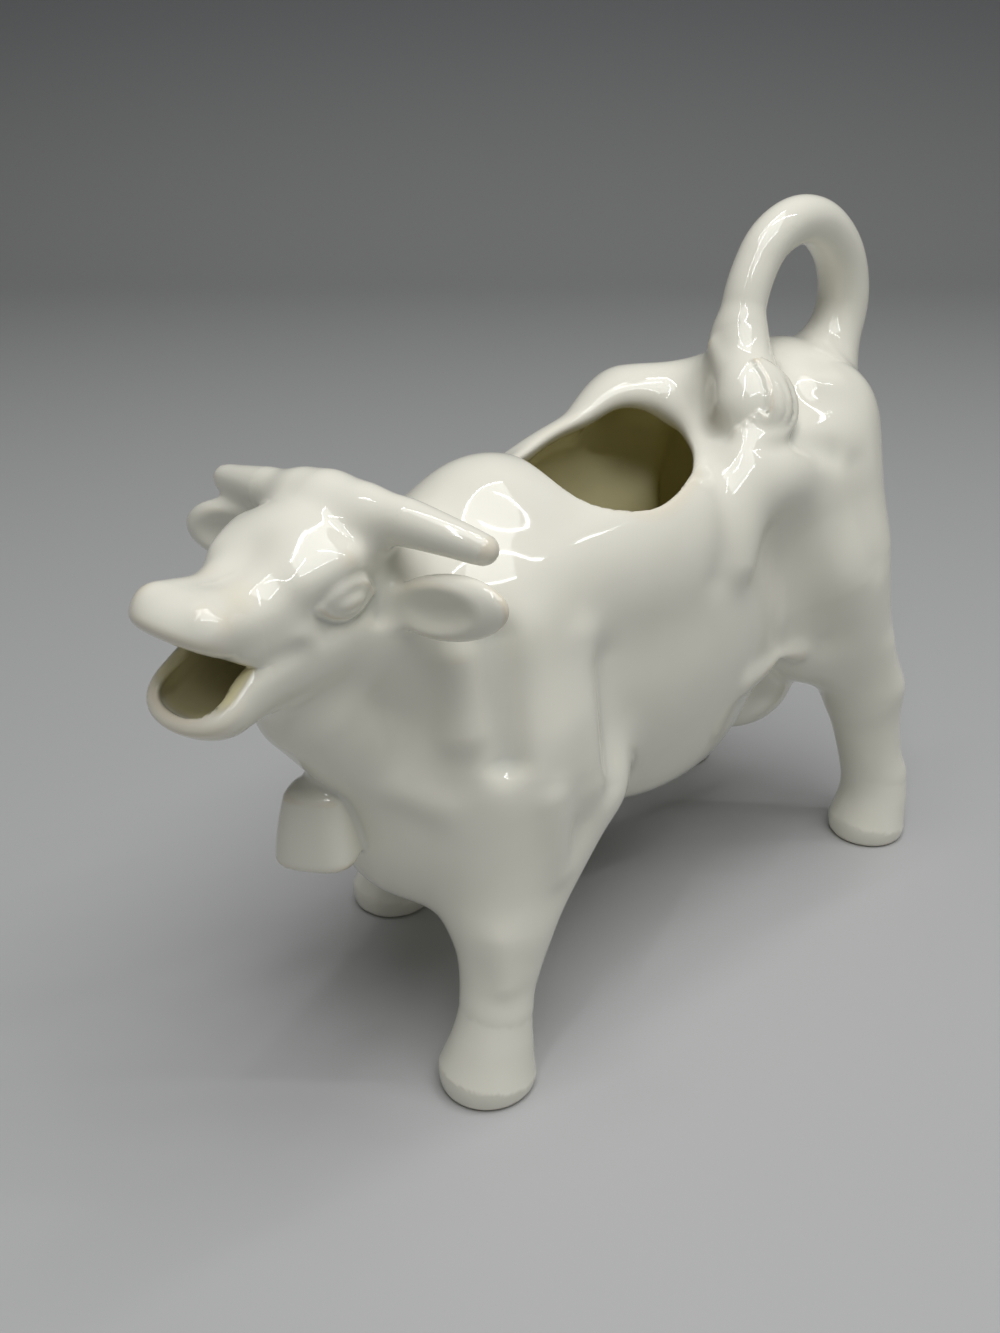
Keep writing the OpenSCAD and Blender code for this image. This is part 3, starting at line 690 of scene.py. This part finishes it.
# %% The surface net
def surface_net(values):
    shape = values.shape
    spots, owners, quads = [], [], []
    axes = [XS, YS, ZS]
    cell = np.array([shape[1] * shape[2], shape[2], 1])
    flat = values.reshape(-1)
    for a in range(3):
        b, c = (a + 1) % 3, (a + 2) % 3
        low = [slice(None)] * 3
        high = [slice(None)] * 3
        low[a], high[a] = slice(0, -1), slice(1, None)
        crossed = (values[tuple(low)] < 0) != (values[tuple(high)] < 0)
        at = np.argwhere(crossed)
        keep = (at[:, b] > 0) & (at[:, c] > 0) & (at[:, b] < shape[b] - 1) & (at[:, c] < shape[c] - 1)
        at = at[keep]
        first = at @ cell
        v0, v1 = flat[first], flat[first + cell[a]]
        t = v0 / (v0 - v1)
        spot = np.stack([axes[d][at[:, d]] for d in range(3)], 1).astype(float)
        spot[:, a] += t * (axes[a][at[:, a] + 1] - axes[a][at[:, a]])
        around = [first - cell[b] - cell[c], first - cell[c], first, first - cell[b]]
        for owner in around:
            spots.append(spot)
            owners.append(owner)
        quad = np.stack(around, 1)
        quad[v0 > v1] = quad[v0 > v1][:, ::-1]
        quads.append(quad)
    cells, index = np.unique(np.concatenate(owners), return_inverse=True)
    spots = np.concatenate(spots)
    count = np.bincount(index)
    points = np.stack([np.bincount(index, spots[:, d]) / count for d in range(3)], 1)
    quads = np.searchsorted(cells, np.concatenate(quads))
    return points, quads


# %% Slope and bend of the field
TETRA = np.array([[1, -1, -1], [-1, -1, 1], [-1, 1, -1], [1, 1, 1]], float)
SLOPE_REACH, BEND_REACH, LONGEST_MOVE = 0.08, 0.45, 0.4


def slope_and_bend(points, reach):
    around = [in_batches(jug_gap, points + reach * e) for e in TETRA]
    slope = sum(v[:, None] * e for v, e in zip(around, TETRA)) / (4 * reach)
    return slope, sum(around) / 4


def settled(points):
    slope, _ = slope_and_bend(points, 0.05)
    size = np.maximum(np.einsum("ij,ij->i", slope, slope), 0.05)
    for again in range(2):
        move = in_batches(jug_gap, points) / size
        points = points - slope * np.clip(move, -LONGEST_MOVE, LONGEST_MOVE)[:, None]
    return points


def bend_of(points):
    _, mean = slope_and_bend(points, BEND_REACH)
    return 2 * (mean - in_batches(jug_gap, points)) / BEND_REACH**2


values = lattice_values()
points, quads = surface_net(values)
points = settled(points)
slope, _ = slope_and_bend(points, SLOPE_REACH)
normals = slope / np.linalg.norm(slope, axis=1)[:, None]
bend = bend_of(points)
print(len(points), "vertices,", len(quads), "quads")

# %% [markdown]
# ## Marks for the glaze and the painted shade inside
# Two numbers go with every vertex. One says how deep in the jug it lies, for a painted shade: the
# yellow and olive that light takes on after many bounces inside is painted into the colour. It
# grows from nothing at the rim of the back, and from nothing at the lips. The other says how
# sharply the skin bends, because glaze runs thin over an edge and pools in a crease.

# %% Marks for the glaze and the painted shade inside
LIPS_X, LIPS_FADE, RIM_FADE_FROM, RIM_FADE, MOUTH_X = 27.0, 4.0, 0.6, 2.6, 6.0


# Painted shade: this mark sets where the beige, yellow and olive of light bounced deep in the jug and
# the mouth is painted
def painted_shade_mark(points):
    gap, torso, head, _ = outside_gap(points)
    inner = -hollow_gap(points, torso, head)
    within = np.clip(0.5 + (inner - gap) / RIM_ROUND, 0, 1)
    own = (points - EARS_AT) @ HEAD_AXES
    from_lips = np.clip((LIPS_X - own[:, 0]) / LIPS_FADE, 0, 1)
    from_rim = np.clip((-torso - RIM_FADE_FROM) / RIM_FADE, 0, 1)
    return within * np.where(own[:, 0] > MOUTH_X, from_lips, np.maximum(from_rim, own[:, 0] > 0))


inside = in_batches(painted_shade_mark, points)
face_label = in_batches(label_of, points[quads].mean(axis=1))
print("faces per piece:", dict(zip(NAMES, np.bincount(face_label, minlength=len(NAMES)).tolist())))

# %% [markdown]
# ## Fourteen closed pieces
# Every quad belongs to the piece whose clay lies nearest. Small islands go to their
# neighbours. Each piece is then cut out along those lines and closed inside the clay, where
# nothing shows, so that it is a solid of its own and its edge fits its neighbour's exactly.
# Where two flaps of one piece touch in a single corner, that corner is doubled first, or the
# edge of the cut could not be followed round. An edge is odd when it isn't shared by just two
# faces, which a closed piece has only where its skin touches itself.

# %% Tidy the labels
def edges_of(quads):
    a = quads.reshape(-1)
    b = np.roll(quads, -1, axis=1).reshape(-1)
    return a, b, np.repeat(np.arange(len(quads)), 4)


def neighbours(quads):
    a, b, face = edges_of(quads)
    low, high = np.minimum(a, b), np.maximum(a, b)
    key = low.astype(np.int64) * (quads.max() + 1) + high
    order = np.argsort(key, kind="stable")
    same = key[order][:-1] == key[order][1:]
    return face[order][:-1][same], face[order][1:][same]


def islands(count, first, second):
    group = np.arange(count)
    while True:
        low = np.minimum(group[first], group[second])
        new = group.copy()
        np.minimum.at(new, first, low)
        np.minimum.at(new, second, low)
        new = new[new]
        new = new[new]
        if np.array_equal(new, group):
            return group
        group = new


SMALLEST_PIECE = 400
first, second = neighbours(quads)
for again in range(3):
    alike = face_label[first] == face_label[second]
    group = islands(len(quads), first[alike], second[alike])
    size = np.bincount(group, minlength=len(quads))[group]
    small = size < SMALLEST_PIECE
    if not small.any():
        break
    edge = (~alike) & small[first] & ~small[second]
    face_label[first[edge]] = face_label[second[edge]]
    edge = (~alike) & small[second] & ~small[first]
    face_label[second[edge]] = face_label[first[edge]]
    print("faces in small islands:", int(small.sum()))


# %% Follow a cut and double its touching corners
def rims(faces):
    a, b, _ = edges_of(faces)
    size = faces.max() + 1
    there = np.isin(a.astype(np.int64) * size + b, b.astype(np.int64) * size + a)
    after = {}
    for p, q in zip(a[~there].tolist(), b[~there].tolist()):
        after.setdefault(p, []).append(q)
    loops = []
    while after:
        start = next(iter(after))
        loop, at = [], start
        while at in after:
            step = after[at].pop()
            if not after[at]:
                del after[at]
            loop.append(at)
            at = step
            if at == start:
                break
        loops.append(loop)
    return loops


def unpinched(faces):
    faces = faces.copy()
    a, b, _ = edges_of(faces)
    size = faces.max() + 1
    met = np.isin(a.astype(np.int64) * size + b, b.astype(np.int64) * size + a)
    source = list(range(size))
    for v in np.flatnonzero(np.bincount(a[~met], minlength=size) > 1):
        fans = []
        for f in np.flatnonzero((faces == v).any(axis=1)):
            k = int(np.argmax(faces[f] == v))
            fan = ({f}, {faces[f][k - 1], faces[f][(k + 1) % 4]})
            for other in [old for old in fans if old[1] & fan[1]]:
                fans.remove(other)
                fan = (fan[0] | other[0], fan[1] | other[1])
            fans.append(fan)
        for own, _ in fans[1:]:
            for f in own:
                faces[f][faces[f] == v] = len(source)
            source.append(v)
    return faces, np.array(source)


# %% Cut out and close
def zipped(outer, inner, points):
    inner = inner[::-1]
    start = int(np.argmin(np.linalg.norm(points[inner] - points[outer[0]], axis=1)))
    inner = inner[start:] + inner[:start]
    i = j = 0
    n, m = len(outer), len(inner)
    strip = []
    while i < n or j < m:
        a, b = outer[i % n], inner[j % m]
        a2, b2 = outer[(i + 1) % n], inner[(j + 1) % m]
        along_outer = j >= m or (i < n and np.linalg.norm(points[a2] - points[b])
                                 <= np.linalg.norm(points[a] - points[b2]))
        if along_outer:
            strip.append([a2, a, b])
            i += 1
        else:
            strip.append([a, b, b2])
            j += 1
    return strip


INNER_MARK, SHORT_RIM = 0.6, 30


def piece_mesh(name, faces):
    used, local = np.unique(faces, return_inverse=True)
    local, source = unpinched(local.reshape(faces.shape))
    used = used[source]
    verts, norms = points[used], normals[used]
    marks = [inside[used], bend[used]]
    loops = sorted(rims(local), key=len, reverse=True)
    caps, extra = [], []
    within = [loop for loop in loops if marks[0][loop].mean() > INNER_MARK and len(loop) > SHORT_RIM]
    if within and name in ("body_shell", "head_spout"):
        near = [loop for loop in loops if loop is not within[0]]
        middle = verts[within[0]].mean(axis=0)
        near.sort(key=lambda loop: np.linalg.norm(verts[loop].mean(axis=0) - middle) - len(loop) * 0.05)
        caps += zipped(near[0], within[0], verts)
        loops = [loop for loop in loops if loop is not near[0] and loop is not within[0]]
    for loop in loops:
        middle = verts[loop].mean(axis=0)
        extra.append(middle)
        hub = len(verts) + len(extra) - 1
        caps += [[loop[(k + 1) % len(loop)], loop[k], hub] for k in range(len(loop))]
    if extra:
        verts = np.vstack([verts, extra])
        norms = np.vstack([norms, np.tile([0, 0, 1.0], (len(extra), 1))])
        marks = [np.append(m, np.full(len(extra), 0.5)) for m in marks]
    return verts, norms, marks, local, caps


def make_piece(name, faces):
    verts, norms, marks, local, caps = piece_mesh(name, faces)
    mesh = bpy.data.meshes.new(name + "_skin")
    corners = np.concatenate([local.reshape(-1), np.array(caps, int).reshape(-1)])
    sizes = np.concatenate([np.full(len(local), 4), np.full(len(caps), 3)])
    mesh.vertices.add(len(verts))
    mesh.vertices.foreach_set("co", ((verts - CENTRE) / 1000).astype(np.float32).reshape(-1))
    mesh.loops.add(len(corners))
    mesh.loops.foreach_set("vertex_index", corners.astype(np.int32))
    mesh.polygons.add(len(sizes))
    starts = np.concatenate([[0], np.cumsum(sizes)[:-1]])
    mesh.polygons.foreach_set("loop_start", starts.astype(np.int32))
    mesh.update(calc_edges=True)
    mesh.validate()
    mesh.shade_smooth()
    for mark, value in zip(("inside", "bend"), marks):
        layer = mesh.attributes.new(mark, "FLOAT", "POINT")
        layer.data.foreach_set("value", value.astype(np.float32))
    mesh.normals_split_custom_set_from_vertices(norms.astype(np.float32))
    piece = bpy.data.objects.new(name + "_skin", mesh)
    bpy.context.collection.objects.link(piece)
    print(f"{name}: {len(local) * 2 + len(caps)} triangles, {len(odd_edges(mesh))} odd edges")
    return piece


def odd_edges(mesh):
    count = np.zeros(len(mesh.edges), int)
    index = np.zeros(len(mesh.loops), int)
    mesh.loops.foreach_get("edge_index", index)
    np.add.at(count, index, 1)
    return np.flatnonzero(count != 2)


# %% [markdown]
# ## Glazed porcelain
# Hard-paste porcelain is a warm, very slightly grey white under a clear gloss glaze. The glaze
# has an IOR near 1.5 and is almost perfectly smooth, so it mirrors the windows of the room.
# Where it runs thin over an edge the body shows a trace of beige, and where it pools the white
# turns a little cooler. Deep in the jug the light comes back yellow and olive after many bounces;
# that colour is painted into the glaze there as a painted shade.

# %% Colours and nodes
def linear(hex_colour):
    parts = [int(hex_colour[i:i + 2], 16) / 255 for i in (1, 3, 5)]
    return [c / 12.92 if c <= 0.04045 else ((c + 0.055) / 1.055) ** 2.4 for c in parts] + [1.0]


def add_node(tree, kind, settings=None, **links):
    made = tree.nodes.new(kind)
    for key, value in (settings or {}).items():
        setattr(made, key, value)
    for socket, value in links.items():
        target = made.inputs[int(socket[1:])] if socket[1:].isdigit() else made.inputs[socket]
        if isinstance(value, bpy.types.NodeSocket):
            tree.links.new(value, target)
        else:
            target.default_value = value
    return made


def glazed_porcelain():
    material = bpy.data.materials.new("glazed_porcelain")
    material.use_nodes = True
    tree = material.node_tree
    tree.nodes.clear()
    soft = {"interpolation_type": "SMOOTHSTEP"}
    mixed = {"data_type": "RGBA"}
    place = add_node(tree, "ShaderNodeTexCoord").outputs["Object"]
    bent = add_node(tree, "ShaderNodeAttribute", {"attribute_name": "bend"}).outputs["Fac"]
    deep = add_node(tree, "ShaderNodeAttribute", {"attribute_name": "inside"}).outputs["Fac"]
    thin = add_node(tree, "ShaderNodeMapRange", soft, _0=bent, _1=0.45, _2=1.3, _4=0.5).outputs[0]
    pool = add_node(tree, "ShaderNodeMapRange", soft, _0=bent, _1=-0.1, _2=-0.9, _4=0.5).outputs[0]
    cloud = add_node(tree, "ShaderNodeTexNoise", _2=120.0, _3=2.0, Vector=place).outputs["Fac"]
    white = add_node(tree, "ShaderNodeMix", mixed, _0=cloud, _6=linear("#EAE8DA"),
                     _7=linear("#F0EEE2")).outputs[2]
    warm = add_node(tree, "ShaderNodeMix", mixed, _0=thin, _6=white, _7=linear("#E0D2B6")).outputs[2]
    cool = add_node(tree, "ShaderNodeMix", mixed, _0=pool, _6=warm, _7=linear("#D9DCD3")).outputs[2]
    # Painted shade: from the rim inwards the colour turns beige, then yellow-olive, for light bounced
    # many times inside the jug and the mouth
    rim = add_node(tree, "ShaderNodeMapRange", soft, _0=deep, _1=0.4, _2=0.75).outputs[0]
    painted_well_shade = add_node(tree, "ShaderNodeMapRange", soft, _0=deep, _1=0.6, _2=1.0).outputs[0]
    shade = add_node(tree, "ShaderNodeMix", mixed, _0=rim, _6=cool, _7=linear("#D9D4BC")).outputs[2]
    colour = add_node(tree, "ShaderNodeMix", mixed, _0=painted_well_shade, _6=shade, _7=linear("#E8E1B6")).outputs[2]
    ripple = add_node(tree, "ShaderNodeTexNoise", _2=160.0, _3=1.0, Vector=place).outputs["Fac"]
    bump = add_node(tree, "ShaderNodeBump", Strength=0.12, Distance=0.0006, Height=ripple).outputs[0]
    shader = add_node(tree, "ShaderNodeBsdfPrincipled", Roughness=0.07, IOR=1.52, Normal=bump,
                      **{"Base Color": colour})
    add_node(tree, "ShaderNodeOutputMaterial", Surface=shader.outputs[0])
    return material


glaze = glazed_porcelain()
print("glaze made of", len(glaze.node_tree.nodes), "nodes")

# %% [markdown]
# ## The tail, rolled by rule
# A handle like this is rolled out as a rope of clay and bent to shape. A node tree does the
# same: it draws a smooth curve through the tail's twelve points, sets rings along it and sweeps
# a circle that gets thinner on the way. The rope is the one in the field, so it runs into the
# field's fillets at the rump and the hip without a step.

# %% The tree that rolls a rope
ROPE_INPUTS = {"Points": "Geometry", "Rings": "Int", "Sides": "Int", "Thick end": "Float",
               "Thin end": "Float", "Thin from": "Float", "Glaze": "Material"}


def rolled_rope():
    tree = bpy.data.node_groups.new("rolled_rope", "GeometryNodeTree")
    for name, kind in ROPE_INPUTS.items():
        tree.interface.new_socket(name, in_out="INPUT", socket_type="NodeSocket" + kind)
    tree.interface.new_socket("Rope", in_out="OUTPUT", socket_type="NodeSocketGeometry")
    given = add_node(tree, "NodeGroupInput").outputs
    line = add_node(tree, "GeometryNodeMeshToCurve", Mesh=given["Points"]).outputs[0]
    curved = add_node(tree, "GeometryNodeCurveSplineType", {"spline_type": "CATMULL_ROM"},
                      Curve=line).outputs[0]
    fine = add_node(tree, "GeometryNodeSetSplineResolution", _0=curved, Resolution=32).outputs[0]
    rings = add_node(tree, "GeometryNodeResampleCurve", _0=fine, Count=given["Rings"]).outputs[0]
    share = add_node(tree, "GeometryNodeSplineParameter").outputs["Factor"]
    radius = add_node(tree, "ShaderNodeMapRange", _0=share, _2=given["Thin from"],
                      _3=given["Thick end"], _4=given["Thin end"]).outputs[0]
    circle = add_node(tree, "GeometryNodeCurvePrimitiveCircle", Resolution=given["Sides"],
                      Radius=1.0).outputs[0]
    swept = add_node(tree, "GeometryNodeCurveToMesh", _0=rings, _1=circle, Scale=radius,
                     _3=True).outputs[0]
    smooth = add_node(tree, "GeometryNodeSetShadeSmooth", _0=swept).outputs[0]
    real = add_node(tree, "GeometryNodeRealizeInstances", _0=smooth).outputs[0]
    glazed = add_node(tree, "GeometryNodeSetMaterial", _0=real, Material=given["Glaze"]).outputs[0]
    add_node(tree, "NodeGroupOutput", Rope=glazed)
    return tree


# %% Roll the tail
def rolled_tail():
    dots = bpy.data.meshes.new("tail_points")
    links = [(n, n + 1) for n in range(len(TAIL_POINTS) - 1)]
    dots.from_pydata(((TAIL_POINTS - CENTRE) / 1000).tolist(), links, [])
    tail = bpy.data.objects.new("tail_handle_skin", dots)
    bpy.context.collection.objects.link(tail)
    roll = tail.modifiers.new("roll", "NODES")
    roll.node_group = rolled_rope()
    sizes = {"Rings": 180, "Sides": 56,
             "Thick end": TAIL_ROOT_R / 1000, "Thin end": TAIL_END_R / 1000,
             "Thin from": 1 / TAIL_THINS, "Glaze": glaze}
    for socket in roll.node_group.interface.items_tree:
        if socket.name in sizes:
            roll[socket.identifier] = sizes[socket.name]
    ready = tail.evaluated_get(bpy.context.evaluated_depsgraph_get())
    mesh = bpy.data.meshes.new_from_object(ready)
    tail.modifiers.clear()
    tail.data = mesh
    return tail


def vertex_table(mesh, what="vertices", field="co"):
    table = np.zeros(len(getattr(mesh, what)) * 3, np.float32)
    getattr(mesh, what).foreach_get(field, table)
    return table.reshape(-1, 3).astype(float)


tail = rolled_tail()
rope = vertex_table(tail.data) * 1000 + CENTRE
own = vertex_table(tail.data, "vertex_normals", "vector")
bare = np.abs(in_batches(jug_gap, rope)) < ON_THE_ROPE * 2.5
rope[bare] = settled(rope[bare])
own[bare] = slope_and_bend(rope[bare], SLOPE_REACH)[0]
own /= np.linalg.norm(own, axis=1)[:, None]
tail.data.vertices.foreach_set("co", ((rope - CENTRE) / 1000).astype(np.float32).reshape(-1))
tail.data.attributes.new("inside", "FLOAT", "POINT")
layer = tail.data.attributes.new("bend", "FLOAT", "POINT")
layer.data.foreach_set("value", np.where(bare, bend_of(rope), 0).astype(np.float32))
tail.data.normals_split_custom_set_from_vertices(own.astype(np.float32))
print("tail:", len(rope), "vertices,", int(bare.sum()), "of them bare, top at",
      rope[:, 2].max().round(2), "mm,", len(odd_edges(tail.data)), "odd edges")

# %% Make the pieces
for n, name in enumerate(NAMES):
    if name == "tail_handle":
        piece = tail
    else:
        piece = make_piece(name, quads[face_label == n])
        piece.data.materials.append(glaze)
    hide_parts(name)
    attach(piece, "root")

# %% [markdown]
# ## Backdrop, light and camera
# A product photographer lays a sheet of grey paper on the table and lets it curve up behind the
# object, so there is no edge of a table. One large soft lamp hangs above and a little to the
# cow's left. Four narrow strips frame it and draw the thin bright outlines that a glaze shows.
# The camera looks down from a hand's breadth above the jug, as a phone does in the hand.

# %% The paper sweep
look = np.array([-0.6858, -0.7278, 0.0])
across = np.array([0.7278, -0.6858, 0.0])
BEND_AT, BEND_R, PAPER_FRONT, PAPER_TOP, PAPER_HALF = 0.75, 0.55, 1.6, 1.8, 2.4
turn_steps = np.linspace(0, math.pi / 2, 25)
profile = [(-PAPER_FRONT, 0.0)]
profile += [(BEND_AT + BEND_R * math.sin(a), BEND_R * (1 - math.cos(a))) for a in turn_steps]
profile.append((BEND_AT + BEND_R, PAPER_TOP))
corners = [tuple(look * far + across * side * PAPER_HALF + [0, 0, up])
           for far, up in profile for side in (-1, 1)]
strips = [(2 * n, 2 * n + 1, 2 * n + 3, 2 * n + 2) for n in range(len(profile) - 1)]
sheet = bpy.data.meshes.new("paper_sweep")
sheet.from_pydata(corners, [], strips)
sheet.shade_smooth()
paper = bpy.data.materials.new("grey_paper")
paper.use_nodes = True
sheet_look = paper.node_tree.nodes["Principled BSDF"]
sheet_look.inputs["Roughness"].default_value = 0.5
# Painted shade: the paper is coloured darker up the sweep, for the light falling off away from the
# lamps
height = add_node(paper.node_tree, "ShaderNodeSeparateXYZ", Vector=add_node(
    paper.node_tree, "ShaderNodeTexCoord").outputs["Object"]).outputs["Z"]
high = add_node(paper.node_tree, "ShaderNodeMapRange", {"interpolation_type": "SMOOTHSTEP"},
                _0=height, _1=0.0, _2=0.3).outputs[0]
painted_falloff = add_node(paper.node_tree, "ShaderNodeMix", {"data_type": "RGBA"}, _0=high,
                  _6=linear("#B7B8B8"), _7=linear("#8C8E90")).outputs[2]
paper.node_tree.links.new(painted_falloff, sheet_look.inputs["Base Color"])
sheet.materials.append(paper)
sweep = bpy.data.objects.new("paper_sweep", sheet)
bpy.context.collection.objects.link(sweep)

# %% The lights
from mathutils import Matrix, Vector

ROOM_LIGHT = 0.12
world = bpy.data.worlds.new("room")
bpy.context.scene.world = world
world.use_nodes = True
world.node_tree.nodes["Background"].inputs["Color"].default_value = (1.0, 1.0, 1.0, 1)
world.node_tree.nodes["Background"].inputs["Strength"].default_value = ROOM_LIGHT


def lamp(name, place, aim, width, height, power):
    data = bpy.data.lights.new(name, "AREA")
    data.shape = "RECTANGLE"
    data.size, data.size_y, data.energy = width, height, power
    made = bpy.data.objects.new(name, data)
    made.location = place
    made.rotation_euler = (Vector(aim) - Vector(place)).to_track_quat("-Z", "Y").to_euler()
    bpy.context.collection.objects.link(made)
    return made


BOX_AT, BOX_SIZE, BOX_WATTS = np.array([0.04, 0.21, 0.84]), 0.6, 3.5
STRIP_OFF, STRIP_LONG, STRIP_WIDE, STRIP_WATTS = 0.31, 0.62, 0.02, 0.8
AIM = (0, 0, 0.05)
box_out = BOX_AT / np.linalg.norm(BOX_AT)
box_side = np.cross([0, 0, 1.0], box_out) / np.linalg.norm(np.cross([0, 0, 1.0], box_out))
box_up = np.cross(box_out, box_side)
lamp("soft_panel", BOX_AT, AIM, BOX_SIZE, BOX_SIZE, BOX_WATTS)
for sign in (1, -1):
    lamp("strip_across", BOX_AT + sign * STRIP_OFF * box_up, AIM, STRIP_LONG, STRIP_WIDE, STRIP_WATTS)
    lamp("strip_along", BOX_AT + sign * STRIP_OFF * box_side, AIM, STRIP_WIDE, BOX_SIZE, STRIP_WATTS)

# %% The camera
EYE_AT = np.array([131.0, 130.2, 136.0])
PHOTO_WIDE, PHOTO_HIGH, FOCAL_PX = 1000, 1333, 1250
MIDDLE_PX = np.array([534, 650])
SENSOR = 36.0
pitch = math.radians(24.4)
forward = Vector((look[0] * math.cos(pitch), look[1] * math.cos(pitch), -math.sin(pitch))).normalized()
right = forward.cross(Vector((0, 0, 1))).normalized()
up = right.cross(forward)
camera = bpy.data.objects.new("camera", bpy.data.cameras.new("camera"))
bpy.context.collection.objects.link(camera)
camera.matrix_world = Matrix((
    (right.x, up.x, -forward.x, (EYE_AT - CENTRE)[0] / 1000),
    (right.y, up.y, -forward.y, (EYE_AT - CENTRE)[1] / 1000),
    (right.z, up.z, -forward.z, EYE_AT[2] / 1000),
    (0, 0, 0, 1)))
camera.data.sensor_fit = "AUTO"
camera.data.sensor_width = SENSOR
camera.data.lens = FOCAL_PX / PHOTO_HIGH * SENSOR
camera.data.shift_x = (PHOTO_WIDE / 2 - MIDDLE_PX[0]) / PHOTO_HIGH
camera.data.shift_y = (MIDDLE_PX[1] - PHOTO_HIGH / 2) / PHOTO_HIGH
camera.data.clip_start = 0.01
bpy.context.scene.camera = camera
bpy.context.scene.view_settings.view_transform = "Standard"
